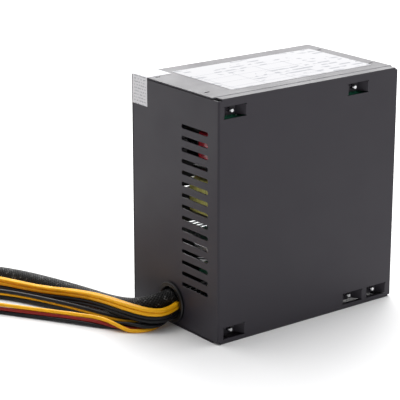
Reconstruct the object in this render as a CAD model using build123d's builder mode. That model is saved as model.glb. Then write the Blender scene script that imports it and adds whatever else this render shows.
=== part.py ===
from build123d import *
from math import atan2, cos, degrees, pi, radians, sin, tan
import os

# A desktop computer power supply, standing on one narrow side.
# X is its 140 mm depth (cable wall at -X, mains wall at +X), Y its 86 mm thickness (closed tray wall
# at -Y, fan wall at +Y) and Z its 150 mm width, which stands upright. Millimetres throughout.

# ---- driving dimensions -------------------------------------------------------------------------
DEPTH, THICK, WIDTH = 140.0, 86.0, 150.0
SHEET = 0.8  # steel sheet
BEND = 1.2  # outside bend radius
SEAM = 0.1  # gap between cover and tray
EDGE_GAP = 0.45  # gap between the end walls' edges and the cover around them
X0, X1 = -DEPTH / 2, DEPTH / 2
Y0, Y1 = -THICK / 2, THICK / 2
LIP = 5.5  # width of the tray's folded side lips
FLANGE = 7.6  # width of the flanges folded in from the end walls

SLOT_COUNT, SLOT_PITCH = 15, 7.04
SLOT_LONG, SLOT_HIGH = 25.7, 2.7
SLOT_Y, SLOT_Z = -20.2, 78.1  # centre of the column of slots
OUTLET_Y, OUTLET_Z, OUTLET_R = 3.0, 14.0, 11.2

BRIDGE_AT = [(-58.0, 141.5), (37.0, 141.5), (37.0, 6.6), (57.0, 6.6), (-58.0, 6.6)]  # x, z
BRIDGE_LONG, BRIDGE_WIDE, BRIDGE_DEEP = 16.6, 6.2, 5.5
BRIDGE_FLAT = 8.6
BRIDGE_GAP = 0.6  # sheared gap along each side of a bridge

BOARD_X, BOARD_Z = (-66.0, 65.5), (4.0, 146.0)
BOARD_THICK = 1.6
BOARD_Y = Y0 + BRIDGE_DEEP + SHEET  # underside of the board, on the bridges
DECK = BOARD_Y + BOARD_THICK  # top of the board, where components stand
SCREW_R = 1.45  # M3 shank
PRIMARY_Z, SECONDARY_Z = 106.2, 51.5  # middles of the two heatsinks' webs
SINK_WEB = 3.0

FAN_Z = 75.0
FAN_SIZE, FAN_THICK, FAN_HOLES = 120.0, 25.0, 105.0
FAN_TOP = Y1 - SHEET
DUCT_R, HUB_R, BLADE_R = 58.2, 20.0, 56.6
BLADES = 9
SHAFT_R, BEARING_R = 1.5, 1.55

INLET_Y, INLET_Z = -4.0, 114.0
SWITCH_Y, SWITCH_Z = -4.0, 74.0
ROCKER_TILT = 9.0
ROCKER_X = 68.2
MOUNT_R, MOUNT_LONG = 1.4, 2.2  # rear holes, number 6 thread, in drawn collars
MOUNT_AT = [(-37.0, 144.0), (-37.0, 6.0), (27.0, 144.0), (37.0, 30.0)]  # y, z
COVER_SCREW_X, COVER_SCREW_Z = 65.4, (12.0, 138.0)

ALONG_X, ALONG_Y, ALONG_Z = (0, 90, 0), (-90, 0, 0), (0, 0, 0)


# ---- helpers ------------------------------------------------------------------------------------
def finish(piece, name):
    """Label a finished piece and write it as its own file."""
    piece.part.label = name
    export_step(piece.part, f"parts/{name}.step")


def block(low, high, mode=Mode.ADD):
    """A box between two corners, inside the part being built."""
    size = [b - a for a, b in zip(low, high)]
    with Locations(tuple((a + b) / 2 for a, b in zip(low, high))):
        Box(*size, mode=mode)


def rod(start, along, radius, length, mode=Mode.ADD):
    """A round bar from start, along one axis."""
    with Locations(Location(start, along)):
        Cylinder(radius, length, align=(Align.CENTER, Align.CENTER, Align.MIN), mode=mode)


def tapered_rod(start, along, radius, end_radius, length, mode=Mode.ADD):
    """A cone or countersink from start, along one axis."""
    with Locations(Location(start, along)):
        Cone(radius, end_radius, length, align=(Align.CENTER, Align.CENTER, Align.MIN), mode=mode)


def level(y):
    """The plane at height y above the tray's wall; a sketch on it extrudes towards the wall."""
    return Plane.XZ.offset(-y)


def end_wall(x):
    """The plane at x whose sketch coordinates are Y and Z; it extrudes towards +X."""
    return Plane.YZ.offset(x)


def corner_radii(route):
    """The largest even fillet that each corner's two runs allow, and the angle it turns."""
    points = [Vector(*p) for p in route]
    radii, turns = [], []
    for before, here, after in zip(points, points[1:], points[2:]):
        turn = (here - before).get_angle(after - here)
        run = min((here - before).length, (after - here).length)
        radii.append(0.45 * run / tan(radians(turn) / 2))
        turns.append(turn)
    return radii, turns


def tube(name, diameter, route):
    """A cable or lead as a round tube along its route, written under its name."""
    radii, turns = corner_radii(route)
    with BuildPart() as lead:
        with BuildLine() as path:
            FilletPolyline(*route, radius=radii)
        start = Plane(route[0], z_dir=Vector(*route[1]) - Vector(*route[0]))
        with BuildSketch(start):
            Circle(diameter / 2)
        sweep(path=path.line)
    length = sum(edge.length for edge in path.edges())
    expected = pi * diameter**2 / 4 * length
    print(name, "length", round(length), "least radius", round(min(radii), 1),
          "most turn", round(max(turns)), "volume ratio", round(lead.part.volume / expected, 4))
    print("   radii", [round(r) for r in radii])
    finish(lead, name)
    return lead


# ---- casing -------------------------------------------------------------------------------------
def make_base_tray():
    top = Y1 - SHEET - EDGE_GAP
    with BuildPart() as base_tray:
        # large wall and both end walls, folded as one U
        with BuildSketch(Plane.XY.offset(SHEET + EDGE_GAP)) as outside:
            with Locations((0, (top + Y0) / 2)):
                Rectangle(DEPTH, top - Y0)
            fillet(outside.vertices().group_by(Axis.Y)[0], BEND)
        extrude(amount=WIDTH - 2 * (SHEET + EDGE_GAP))
        # large wall's full height, with its folded side lips
        lip_x = DEPTH / 2 - 2.4
        with BuildSketch(Plane.YZ.offset(-lip_x)) as pan:
            with Locations((Y0 + LIP / 2, WIDTH / 2)):
                Rectangle(LIP, WIDTH)
            fillet(pan.vertices().group_by(Axis.Y)[0], BEND)
        extrude(amount=2 * lip_x)
        with BuildSketch(Plane.XY) as inside:
            with Locations((0, (THICK + Y0 + SHEET) / 2)):
                Rectangle(DEPTH - 2 * SHEET, THICK - Y0 - SHEET)
            fillet(inside.vertices().group_by(Axis.Y)[0], BEND - SHEET)
        extrude(amount=WIDTH - SHEET, mode=Mode.SUBTRACT)
        for low, high in ((0, SHEET), (WIDTH - SHEET, WIDTH)):
            block((-lip_x, Y0 + SHEET / 2, low), (lip_x, Y0 + LIP, high))
        # joggled tongues that pass under the cover's sides
        for low in (SHEET + SEAM, WIDTH - 2 * SHEET - SEAM):
            block((-60, Y0 + LIP - 1.0, low - SEAM), (60, Y0 + LIP + 5.5, low + SHEET + SEAM))
        for low in (SHEET, WIDTH - SHEET - SEAM):
            block((-60, Y0 + LIP, low), (60, Y0 + LIP + 5.5, low + SEAM), mode=Mode.SUBTRACT)
        # flanges folded in from the end walls, under the cover
        for side in (-1, 1):
            inner, outer = side * (X1 - SHEET - FLANGE), side * (X1 - SHEET / 2)
            near, far = min(inner, outer), max(inner, outer)
            for low in (SHEET + EDGE_GAP, WIDTH - 2 * SHEET - EDGE_GAP):
                block((near, Y0 + 7.5, low), (far, top - 1.5, low + SHEET))
            block((near, top - SHEET, 4), (far, top, WIDTH - 4))
            for z in COVER_SCREW_Z:
                rod((side * COVER_SCREW_X, top - 2, z), ALONG_Y, SCREW_R, 4, Mode.SUBTRACT)
        # rounded ends of the large wall
        for x, z in ((X0, 0), (X1, 0), (X0, WIDTH), (X1, WIDTH)):
            inward_x = 2.4 if x < 0 else -2.4
            inward_z = 2.4 if z == 0 else -2.4
            with BuildSketch(level(Y0 + SHEET)):
                with BuildLine():
                    Polyline((x + inward_x, z), (x, z), (x, z + inward_z))
                    RadiusArc((x, z + inward_z), (x + inward_x, z), 2.4 * (1 if x * inward_z > 0 else -1))
                make_face()
            extrude(amount=SHEET, mode=Mode.SUBTRACT)
        make_bridges()
        make_cable_wall_holes()
        make_mains_wall_holes()
    finish(base_tray, "base_tray")
    return base_tray


def make_bridges():
    """Openings in the large wall, each with a bridge pushed inwards that carries the board."""
    half, flat = BRIDGE_LONG / 2, BRIDGE_FLAT / 2
    deep = Y0 + BRIDGE_DEEP
    for x, z in BRIDGE_AT:
        wide = BRIDGE_WIDE + 2 * BRIDGE_GAP
        block((x - half, Y0 - 1, z - wide / 2), (x + half, Y0 + SHEET + 1, z + wide / 2), Mode.SUBTRACT)
        with BuildSketch(Plane.XY.offset(z - BRIDGE_WIDE / 2)) as bridge:
            with BuildLine():
                Polyline(
                    (x - half - 0.2, Y0), (x - half + 0.4, Y0), (x - flat, deep), (x + flat, deep),
                    (x + half - 0.4, Y0), (x + half + 0.2, Y0), (x + half + 0.2, Y0 + SHEET),
                    (x + half - 0.1, Y0 + SHEET), (x + flat + 0.45, deep + SHEET),
                    (x - flat - 0.45, deep + SHEET), (x - half + 0.1, Y0 + SHEET),
                    (x - half - 0.2, Y0 + SHEET), close=True,
                )
            make_face()
        extrude(bridge.sketch, amount=BRIDGE_WIDE)
        rod((x, deep - 1, z), ALONG_Y, SCREW_R + 0.05, 3, Mode.SUBTRACT)


def make_cable_wall_holes():
    with BuildSketch(end_wall(X0 - 0.5)) as holes:
        with Locations((SLOT_Y, SLOT_Z)):
            with GridLocations(0, SLOT_PITCH, 1, SLOT_COUNT):
                SlotOverall(SLOT_LONG, SLOT_HIGH)
        with Locations((OUTLET_Y, OUTLET_Z)):
            Circle(OUTLET_R)
    extrude(holes.sketch, amount=SHEET + 1, mode=Mode.SUBTRACT)


def vent_places():
    """Centres of the mains wall's hexagonal vents, as Y and Z, in two staggered fields."""
    pitch, row = 6.6, 5.72
    fields = [((-28, 30), (13, 57)), ((13.5, 33), (64, 136))]
    places = []
    for (y_low, y_high), (z_low, z_high) in fields:
        for k in range(int((z_high - z_low) / row) + 1):
            shift = pitch / 2 if k % 2 else 0
            for n in range(int((y_high - y_low - shift) / pitch) + 1):
                places.append((y_low + shift + n * pitch, z_low + k * row))
    return places


def make_mains_wall_holes():
    with BuildSketch(end_wall(X1 - SHEET - 0.5)) as holes:
        with Locations(*vent_places()):
            RegularPolygon(3.0, 6)
        with Locations((INLET_Y, INLET_Z)):
            Rectangle(20.0, 27.4)
            with GridLocations(0, 40, 1, 2):
                Circle(1.6)
        with Locations((SWITCH_Y, SWITCH_Z)):
            Rectangle(13.1, 19.4)
    extrude(holes.sketch, amount=SHEET + 1, mode=Mode.SUBTRACT)
    for y, z in MOUNT_AT:
        rod((X1 - MOUNT_LONG, y, z), ALONG_X, 2.4, MOUNT_LONG)
        rod((X1 - MOUNT_LONG - 1, y, z), ALONG_X, MOUNT_R, MOUNT_LONG + 2, Mode.SUBTRACT)


def make_top_cover():
    side_y = Y0 + LIP + 0.3
    with BuildPart() as top_cover:
        with BuildSketch(Plane.YZ.offset(X0)) as outside:
            with Locations(((side_y + Y1) / 2, WIDTH / 2)):
                Rectangle(Y1 - side_y, WIDTH)
            fillet(outside.vertices().group_by(Axis.Y)[-1], BEND)
        extrude(amount=DEPTH)
        with BuildSketch(Plane.YZ.offset(X0)) as inside:
            with Locations(((Y0 + FAN_TOP) / 2, WIDTH / 2)):
                Rectangle(FAN_TOP - Y0, WIDTH - 2 * SHEET)
            fillet(inside.vertices().group_by(Axis.Y)[-1], BEND - SHEET)
        extrude(amount=DEPTH, mode=Mode.SUBTRACT)
        rod((0, FAN_TOP - 1, FAN_Z), ALONG_Y, DUCT_R - 0.6, 3, Mode.SUBTRACT)
        with BuildSketch(level(Y1 + 0.5)):
            with Locations((0, FAN_Z)):
                with GridLocations(FAN_HOLES, FAN_HOLES, 2, 2):
                    Circle(2.3)
            with Locations(*[(s * COVER_SCREW_X, z) for s in (-1, 1) for z in COVER_SCREW_Z]):
                Circle(1.7)
        extrude(amount=SHEET + 1, mode=Mode.SUBTRACT)
        # small locating slots near the ends of both sides
        for low in (-0.5, WIDTH - SHEET - 0.5):
            with BuildSketch(Plane.XY.offset(low)):
                with GridLocations(128, 48.5, 2, 2):
                    SlotOverall(3.6, 1.3)
            extrude(amount=SHEET + 1, mode=Mode.SUBTRACT)
    finish(top_cover, "top_cover")
    return top_cover


def make_cover_screws():
    with BuildPart() as cover_screws:
        for side in (-1, 1):
            for z in COVER_SCREW_Z:
                x = side * COVER_SCREW_X
                rod((x, Y1 - 5, z), ALONG_Y, SCREW_R - 0.05, 5.2)
                rod((x, Y1, z), ALONG_Y, 2.9, 0.7)
                tapered_rod((x, Y1 + 0.7, z), ALONG_Y, 2.9, 1.9, 0.9)
                block((x - 1.7, Y1 + 0.8, z - 0.3), (x + 1.7, Y1 + 2, z + 0.3), Mode.SUBTRACT)
                block((x - 0.3, Y1 + 0.8, z - 1.7), (x + 0.3, Y1 + 2, z + 1.7), Mode.SUBTRACT)
    finish(cover_screws, "cover_screws")


def make_labels():
    with BuildPart() as rating_label:
        with BuildSketch(Plane.XY.offset(WIDTH)) as outline:
            with Locations((6.0, 1.2)):
                Rectangle(110.0, 59.0)
            fillet(outline.vertices(), 1.0)
        extrude(amount=0.12)
    finish(rating_label, "rating_label")
    # the sticker folds over the edge between the narrow side and the cable wall
    width, reach = (27.0, 42.0), 18.0
    with BuildPart() as warranty_sticker:
        block((X0 - 0.12, width[0], WIDTH), (X0 + reach, width[1], WIDTH + 0.12))
        block((X0 - 0.12, width[0], WIDTH - reach), (X0, width[1], WIDTH + 0.01))
    finish(warranty_sticker, "warranty_sticker")


def make_grommet():
    with BuildPart() as cable_grommet:
        with BuildSketch(Plane.XZ) as half:
            with BuildLine():
                Polyline(
                    (9.8, -2.2), (9.8, 1.2), (10.3, 1.8), (12.4, 1.8), (12.8, 1.3), (12.8, 0.05),
                    (11.1, 0.05), (11.1, -0.85), (12.2, -0.95), (12.2, -1.8), (11.6, -2.2), close=True,
                )
            make_face()
        revolve(axis=Axis.Z)
    placed = BuildPart()
    with placed:
        add(cable_grommet.part.moved(Location((X0, OUTLET_Y, OUTLET_Z), (0, -90, 0))))
    finish(placed, "cable_grommet")


# ---- circuit board and what stands on it --------------------------------------------------------
def make_board():
    with BuildPart() as circuit_board:
        block((BOARD_X[0], BOARD_Y, BOARD_Z[0]), (BOARD_X[1], DECK, BOARD_Z[1]))
        for x, z in BRIDGE_AT:
            hole_z = min(max(z, BOARD_Z[0] + 2.6), BOARD_Z[1] - 2.6)
            rod((x, BOARD_Y - 1, hole_z), ALONG_Y, 1.6, 4, Mode.SUBTRACT)
        # cut-outs that clear the drawn collars of the mains wall
        for z in (6.0, 144.0):
            block((BOARD_X[1] - 2, BOARD_Y - 1, z - 4), (BOARD_X[1] + 1, DECK + 1, z + 4), Mode.SUBTRACT)
    finish(circuit_board, "circuit_board")
    with BuildPart() as board_screws:
        for x, z in BRIDGE_AT:
            rod((x, Y0 + 3.3, z), ALONG_Y, SCREW_R, DECK - Y0 - 3.2)
            tapered_rod((x, Y0 + 2.7, z), ALONG_Y, SCREW_R - 0.5, SCREW_R, 0.6)
            rod((x, DECK, z), ALONG_Y, 2.8, 1.4)
            tapered_rod((x, DECK + 1.4, z), ALONG_Y, 2.8, 1.9, 0.6)
    finish(board_screws, "board_screws")
    with BuildPart() as insulation_sheet:
        block((-64.5, Y0 + SHEET + 0.2, 13), (64.5, Y0 + SHEET + 0.6, 136))
    finish(insulation_sheet, "insulation_sheet")


def heatsink(name, x_range, z, fins, lean, tail):
    """An extruded heatsink: a tall web along X, a fan of fins at its top and a low tail at its -X end."""
    with BuildPart() as sink:
        block((x_range[0] - tail, DECK, z - SINK_WEB / 2), (x_range[1], -8.0, z + SINK_WEB / 2))
        block((x_range[0], -8.5, z - SINK_WEB / 2), (x_range[1], 8.0, z + SINK_WEB / 2))
        for k in range(fins):
            y = -4.0 + k * 4.0
            block((x_range[0], y, z - 1.0), (x_range[1], y + 1.4, z + lean))
        for x in (x_range[0] + 8, x_range[1] - 8):
            block((x - 1, DECK - 3, z - 0.5), (x + 1, DECK + 0.1, z + 0.5))
    finish(sink, name)


def make_power_parts():
    heatsink("primary_heatsink", (-53.5, 32), PRIMARY_Z, 4, 9, 0)
    heatsink("secondary_heatsink", (-53, 26), SECONDARY_Z, 4, 9, 8)
    with BuildPart() as switching_transistors:
        for x in (-24, 4):
            package(x, PRIMARY_Z - SINK_WEB / 2, -1)
    finish(switching_transistors, "switching_transistors")
    with BuildPart() as output_rectifiers:
        for x in (-44, -22, 6):
            package(x, SECONDARY_Z - SINK_WEB / 2, -1)
    finish(output_rectifiers, "output_rectifiers")
    with BuildPart() as bridge_rectifier:
        block((38, DECK + 3, 92), (41.6, DECK + 18, 114))
        for z in (95, 100.3, 105.7, 111):
            block((39.3, DECK - 3, z - 0.6), (40.3, DECK + 3, z + 0.6))
    finish(bridge_rectifier, "bridge_rectifier")


def package(x, face_z, side):
    """A three-legged flat package standing against a heatsink face."""
    back, front = sorted((face_z, face_z + side * 4.6))
    block((x - 7.8, DECK + 5, back), (x + 7.8, DECK + 24, front))
    middle = (back + front) / 2
    for leg in (-5.45, 0, 5.45):
        block((x + leg - 0.6, DECK - 3, middle - 0.3), (x + leg + 0.6, DECK + 5.1, middle + 0.3))


def can(x, z, radius, height):
    """An electrolytic capacitor: a can with a rolled groove, standing on the board."""
    rod((x, DECK, z), ALONG_Y, radius, 1.6)
    rod((x, DECK + 1.6, z), ALONG_Y, radius - 0.5, 1.2)
    rod((x, DECK + 2.8, z), ALONG_Y, radius, height - 2.8)
    for shift in (-radius * 0.45, radius * 0.45):
        rod((x + shift, DECK - 3, z), ALONG_Y, 0.4, 3.1)


def make_capacitors():
    with BuildPart() as bulk_capacitors:
        for x in (18, -9):
            can(x, 128.5, 11, 36)
    finish(bulk_capacitors, "bulk_capacitors")
    with BuildPart() as output_capacitors:
        for x, z, radius, height in (
            (-54, 36, 5, 25), (-41, 38.5, 5, 20), (-52, 25, 5, 20), (36, 42, 5, 25),
            (49, 42, 5, 25), (36, 29, 5, 20), (24, 16, 4, 14), (49, 29, 4, 14),
        ):
            can(x, z, radius, height)
    finish(output_capacitors, "output_capacitors")
    with BuildPart() as film_capacitor:
        # dipped film capacitor on long legs by the cable wall
        block((-61.5, DECK + 4, 106), (-54.5, DECK + 24, 124))
        fillet(film_capacitor.edges(), 2.4)
        for z in (109, 121):
            rod((-58, DECK - 3, z), ALONG_Y, 0.5, 8)
    finish(film_capacitor, "film_capacitor")
    with BuildPart() as mains_capacitor:
        block((49, DECK + 0.3, 87), (62.5, DECK + 14, 95.5))
        for x in (51.5, 60):
            rod((x, DECK - 3, 91.2), ALONG_Y, 0.45, 3.6)
    finish(mains_capacitor, "mains_capacitor")


def transformer(core_name, winding_name, x, z, length, width, height, turned):
    """A transformer: a ferrite E-core around a taped winding that stands proud on both sides.

    The core is long along X, and along Z when turned.
    """
    low, high = DECK + 2.5, DECK + 2.5 + height

    def stand(near, far, mode=Mode.ADD):
        """A box between two corners, given as along the core, height and across the core."""
        if turned:
            near, far = near[::-1], far[::-1]
        block((x + near[0], near[1], z + near[2]), (x + far[0], far[1], z + far[2]), mode)

    with BuildPart() as core:
        stand((-length / 2, low, -width / 4), (length / 2, high, width / 4))
        stand((5 - length / 2, low + 5, -width / 2), (length / 2 - 5, high - 5, width / 2), Mode.SUBTRACT)
    with BuildPart() as winding:
        stand((5.1 - length / 2, low + 5.1, -width / 2), (length / 2 - 5.1, high - 5.1, width / 2))
        fillet(winding.edges().filter_by(Axis.X if turned else Axis.Z), 1.5)
        for side in (-1, 1):
            flange = side * (width / 2 - 0.6)
            stand((2 - length / 2, DECK + 0.4, flange - 0.6), (length / 2 - 2, low + 5.2, flange + 0.6))
            for k in range(5):
                leg = 4 - length / 2 + k * (length - 8) / 4
                stand((leg - 0.4, DECK - 3, flange - 0.4), (leg + 0.4, DECK + 0.6, flange + 0.4))
    finish(core, core_name)
    finish(winding, winding_name)


def make_magnetics():
    transformer("transformer_core", "transformer_winding", -47, 83.5, 31, 27, 35, True)
    transformer("standby_core", "standby_winding", -2, 79, 26, 24, 22, False)
    with BuildPart() as driver_transformer:
        block((24, DECK + 0.4, 72), (40, DECK + 14, 88))
        fillet(driver_transformer.edges().filter_by(Axis.Y), 1.5)
        block((22, DECK + 4, 76), (42, DECK + 10, 84))
    finish(driver_transformer, "driver_transformer")
    ring_coil("output_choke", 4, 28, 14.5, 12, 26)
    ring_coil("line_choke", 50, 124, 11.5, 10, 18)


def ring_coil(name, x, z, radius, height, turns):
    """A ring-shaped choke lying on the board, its wire turns standing out as ribs."""
    with BuildPart() as coil:
        rod((x, DECK + 1.2, z), ALONG_Y, radius, height)
        rod((x, DECK, z), ALONG_Y, radius * 0.42, height + 4, Mode.SUBTRACT)
        fillet(coil.edges().filter_by(GeomType.CIRCLE), 1.6)
        rod((x, DECK, z), ALONG_Y, radius * 0.7, 1.6)
        rod((x, DECK - 0.5, z), ALONG_Y, radius * 0.5, height + 4, Mode.SUBTRACT)
        for k in range(turns):
            angle = radians(k * 360 / turns)
            rod((x + (radius + 0.1) * cos(angle), DECK + 2.4, z + (radius + 0.1) * sin(angle)),
                ALONG_Y, 0.7, height - 2.4)
    finish(coil, name)


def make_small_parts():
    with BuildPart() as fuse:
        rod((45.5, DECK + 3.6, 82), ALONG_X, 2.6, 20)
        for x in (48, 63):
            block((x - 0.4, DECK - 3, 81.6), (x + 0.4, DECK + 3, 82.4))
    finish(fuse, "fuse")
    with BuildPart() as thermistor:
        rod((33.3, DECK + 11, 120.5), ALONG_Z, 4, 3.4)
        for x in (31, 35.6):
            rod((x, DECK - 3, 122.2), ALONG_Y, 0.45, 12)
    finish(thermistor, "thermistor")
    with BuildPart() as control_board:
        block((14, DECK, 54.5), (15.4, DECK + 22, 66.5))
        block((15.3, DECK + 4, 57.5), (17.4, DECK + 16, 63.5))
    finish(control_board, "control_board")
    with BuildPart() as small_parts:
        for x, z in ((-20, 12), (-12, 9), (52, 14), (46, 56), (52, 62), (38, 60), (52, 70)):
            rod((x - 1.4, DECK + 1.5, z), ALONG_X, 1.2, 4.2)
            block((x - 3.2, DECK + 1.2, z - 0.3), (x + 4.6, DECK + 1.8, z + 0.3))
            block((x - 3.2, DECK - 2, z - 0.3), (x - 2.6, DECK + 1.8, z + 0.3))
            block((x + 4.0, DECK - 2, z - 0.3), (x + 4.6, DECK + 1.8, z + 0.3))
    finish(small_parts, "small_parts")
    route = [(-34, DECK, 20), (-34, -16, 20), (-39, -3, 17), (-52, 3.2, 14.4), (-68.8, 3.2, 14)]
    tube("internal_leads", 15.0, route)


# ---- fan ----------------------------------------------------------------------------------------
def make_fan():
    low = FAN_TOP - FAN_THICK
    with BuildPart() as fan_frame:
        for y in (FAN_TOP, low + 4):
            with BuildSketch(level(y)) as plate:
                with Locations((0, FAN_Z)):
                    RectangleRounded(FAN_SIZE, FAN_SIZE, 5)
                    with GridLocations(FAN_HOLES, FAN_HOLES, 2, 2):
                        Circle(2.15, mode=Mode.SUBTRACT)
            extrude(amount=4)
        rod((0, low, FAN_Z), ALONG_Y, FAN_SIZE / 2, FAN_THICK)
        rod((0, low - 1, FAN_Z), ALONG_Y, DUCT_R, FAN_THICK + 2, Mode.SUBTRACT)
        rod((0, low, FAN_Z), ALONG_Y, HUB_R, 2.2)
        for k in range(4):
            angle = 45 + 90 * k
            with BuildSketch(level(low + 2.2)):
                with Locations(Location((0, FAN_Z), angle)):
                    with Locations((39, 0)):
                        Rectangle(40, 5)
            extrude(amount=2.2)
        rod((0, low + 1, FAN_Z), ALONG_Y, 4.0, 14)
        rod((0, low + 0.6, FAN_Z), ALONG_Y, BEARING_R, 16, Mode.SUBTRACT)
    finish(fan_frame, "fan_frame")
    with BuildPart() as fan_stator:
        rod((0, low + 4.5, FAN_Z), ALONG_Y, 15.5, 9)
        rod((0, low + 3, FAN_Z), ALONG_Y, 4.05, 12, Mode.SUBTRACT)
        for k in range(4):
            with BuildSketch(level(low + 14)):
                with Locations(Location((0, FAN_Z), 45 + 90 * k)):
                    with Locations((13, 0)):
                        Rectangle(10, 3)
            extrude(amount=10, mode=Mode.SUBTRACT)
    finish(fan_stator, "fan_stator")
    make_rotor(low)
    make_grille()


def make_rotor(low):
    hub_low, hub_high = low + 3.2, FAN_TOP - 1.6
    with BuildPart() as blade:
        for radius, pitch, chord in ((HUB_R - 1.2, 48, 16.5), (38, 38, 26), (BLADE_R - 1.6, 29, 33)):
            chord_way = (0, -sin(radians(pitch)), cos(radians(pitch)))
            plane = Plane((radius, (hub_low + hub_high) / 2, FAN_Z), x_dir=chord_way, z_dir=(1, 0, 0))
            with BuildSketch(plane):
                SlotOverall(chord, 1.5)
        loft()
    with BuildPart() as fan_rotor:
        rod((0, hub_low, FAN_Z), ALONG_Y, HUB_R, hub_high - hub_low)
        fillet(fan_rotor.edges().filter_by(GeomType.CIRCLE).sort_by(Axis.Y)[-1], 1.5)
        for k in range(BLADES):
            add(blade.part.rotate(Axis((0, 0, FAN_Z), (0, 1, 0)), k * 360 / BLADES))
        rod((0, low, FAN_Z), ALONG_Y, HUB_R - 1.6, hub_high - low - 1.6, Mode.SUBTRACT)
        rod((0, low + 2.6, FAN_Z), ALONG_Y, SHAFT_R, hub_high - low - 3.0)
    finish(fan_rotor, "fan_rotor")


def make_grille():
    wire = 0.75
    ring_y, bar_y = Y1 + 1.05, Y1 + 0.85
    with BuildPart() as fan_grille:
        with BuildSketch(Plane.XY.offset(FAN_Z)):
            with Locations(*[(radius, ring_y) for radius in (14, 23, 32, 41, 50, 57)]):
                Circle(wire)
        revolve(axis=Axis((0, 0, FAN_Z), (0, 1, 0)))
        reach = FAN_HOLES / 2 * 2**0.5
        for k in range(4):
            angle = radians(45 + 90 * k)
            x, z = cos(angle), sin(angle)
            rod((13 * x, bar_y, FAN_Z + 13 * z), (0, 90 - degrees(angle), 0), wire, reach - 16.6)
            rod((reach * x, Y1, FAN_Z + reach * z), ALONG_Y, 4.4, 1.0)
            rod((reach * x, Y1 - 1, FAN_Z + reach * z), ALONG_Y, 2.3, 3, Mode.SUBTRACT)
    finish(fan_grille, "fan_grille")
    with BuildPart() as fan_screws:
        for x in (-FAN_HOLES / 2, FAN_HOLES / 2):
            for z in (FAN_Z - FAN_HOLES / 2, FAN_Z + FAN_HOLES / 2):
                rod((x, Y1 - 10, z), ALONG_Y, 2.0, 11)
                rod((x, Y1 + 1.0, z), ALONG_Y, 3.8, 1.0)
                block((x - 2.2, Y1 + 1.4, z - 0.35), (x + 2.2, Y1 + 3, z + 0.35), Mode.SUBTRACT)
                block((x - 0.35, Y1 + 1.4, z - 2.2), (x + 0.35, Y1 + 3, z + 2.2), Mode.SUBTRACT)
    finish(fan_screws, "fan_screws")


# ---- mains inlet and switch ---------------------------------------------------------------------
def make_inlet():
    y, z = INLET_Y, INLET_Z
    with BuildPart() as inlet_housing:
        with BuildSketch(end_wall(X1)) as flange:
            with Locations((y, z)):
                Rectangle(22.6, 50)
            fillet(flange.vertices(), 5)
            with Locations((y, z)):
                with GridLocations(0, 40, 1, 2):
                    Circle(1.65, mode=Mode.SUBTRACT)
        extrude(amount=2.4)
        block((54, y - 9.9, z - 13.6), (X1 + 0.5, y + 9.9, z + 13.6))
        with BuildSketch(end_wall(56)) as socket:
            with Locations((y, z)):
                Rectangle(16.4, 24.4)
            chamfer(socket.vertices().group_by(Axis.X)[-1], 4.2)
        extrude(amount=X1 + 2.4 - 56, mode=Mode.SUBTRACT)
        for pin_y, pin_z in inlet_pin_places():
            block((53, pin_y - 2, pin_z - 1), (57, pin_y + 2, pin_z + 1), Mode.SUBTRACT)
    finish(inlet_housing, "inlet_housing")
    with BuildPart() as inlet_pins:
        for pin_y, pin_z in inlet_pin_places():
            block((53.9, pin_y - 1.98, pin_z - 0.98), (71, pin_y + 1.98, pin_z + 0.98))
            block((46, pin_y - 1.98, pin_z - 0.4), (54, pin_y + 1.98, pin_z + 0.4))
    finish(inlet_pins, "inlet_pins")
    with BuildPart() as inlet_screws:
        for screw_z in (z - 20, z + 20):
            rod((X1 - 5, y, screw_z), ALONG_X, 1.5, 7.4)
            tapered_rod((X1 + 2.4, y, screw_z), ALONG_X, 2.9, 1.9, 1.0)
            block((X1 + 2.9, y - 2, screw_z - 0.3), (X1 + 4, y + 2, screw_z + 0.3), Mode.SUBTRACT)
    finish(inlet_screws, "inlet_screws")


def inlet_pin_places():
    """The three pins as Y and Z: live and neutral side by side, earth offset between them."""
    return [(INLET_Y - 2, INLET_Z - 7), (INLET_Y - 2, INLET_Z + 7), (INLET_Y + 2, INLET_Z)]


def make_switch():
    y, z = SWITCH_Y, SWITCH_Z
    with BuildPart() as switch_housing:
        block((X1, y - 7.5, z - 10.6), (X1 + 1.8, y + 7.5, z + 10.6))
        fillet(switch_housing.edges().filter_by(Axis.X), 1.2)
        block((57, y - 6.45, z - 9.6), (X1 + 0.5, y + 6.45, z + 9.6))
        block((61, y - 5.2, z - 8.4), (X1 + 3, y + 5.2, z + 8.4), Mode.SUBTRACT)
        rod((ROCKER_X, y - 5.9, z), ALONG_Y, 1.05, 11.8, Mode.SUBTRACT)
    finish(switch_housing, "switch_housing")
    with BuildPart() as switch_rocker:
        with BuildSketch(level(y + 4.7)):
            with BuildLine():
                Polyline(
                    (ROCKER_X - 0.6, z - 7.7), (ROCKER_X + 3.4, z - 7.7), (ROCKER_X + 2.3, z),
                    (ROCKER_X + 3.4, z + 7.7), (ROCKER_X - 0.6, z + 7.7), (ROCKER_X - 3.0, z + 2.5),
                    (ROCKER_X - 4.2, z), (ROCKER_X - 3.0, z - 2.5), close=True,
                )
            make_face()
        extrude(amount=9.4)
        rod((ROCKER_X, y - 5.8, z), ALONG_Y, 1.0, 11.6)
    tilted = BuildPart()
    with tilted:
        add(switch_rocker.part.rotate(Axis((ROCKER_X, y, z), (0, 1, 0)), -ROCKER_TILT))
    finish(tilted, "switch_rocker")
    with BuildPart() as switch_terminals:
        for tab_z in (z - 5, z + 5):
            block((49, y - 3.1, tab_z - 0.4), (57, y + 3.1, tab_z + 0.4))
    finish(switch_terminals, "switch_terminals")


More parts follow.
